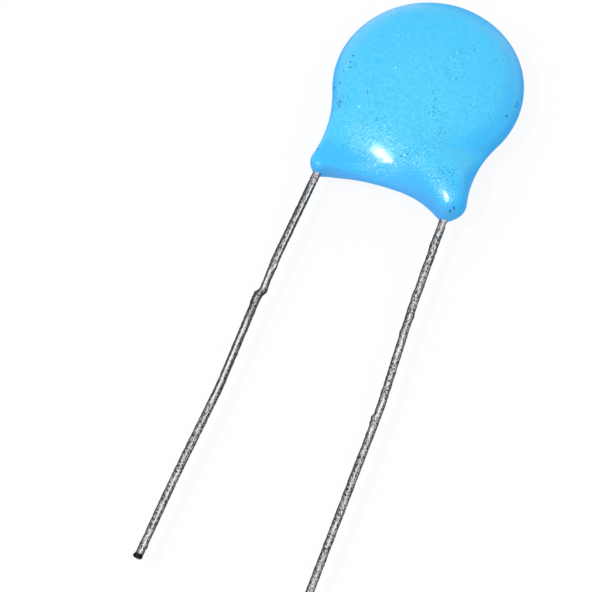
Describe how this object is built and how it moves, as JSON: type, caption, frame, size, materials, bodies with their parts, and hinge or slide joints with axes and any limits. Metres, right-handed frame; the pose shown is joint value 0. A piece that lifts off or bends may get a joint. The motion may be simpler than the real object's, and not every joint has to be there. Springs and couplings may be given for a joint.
{
  "type": "ceramic disc capacitor",
  "caption": "Flat round ceramic disc in a dipped epoxy coating, with long bent wire leads from feet on its lower edge; stores charge in an electronic circuit.",
  "frame": {"origin": "centre of the flat middle of the rear face, on the disc's axis", "axes": "+Z along the disc's axis from the rear face to the front face, +Y from the leads towards the top of the disc, +X to the side of the front lead"},
  "size_m": [0.014, 0.05, 0.0043],
  "materials": {
    "epoxy": "satin",
    "ceramic": "matte",
    "silver": "satin",
    "tinned_wire": "satin",
    "solder": "satin"
  },
  "bodies": {
    "root": {"coating": "epoxy", "ceramic_disc": "ceramic", "front_electrode": "silver", "rear_electrode": "silver", "front_lead": "tinned_wire", "rear_lead": "tinned_wire", "front_solder": "solder", "rear_solder": "solder"}
  },
  "joints": []
}
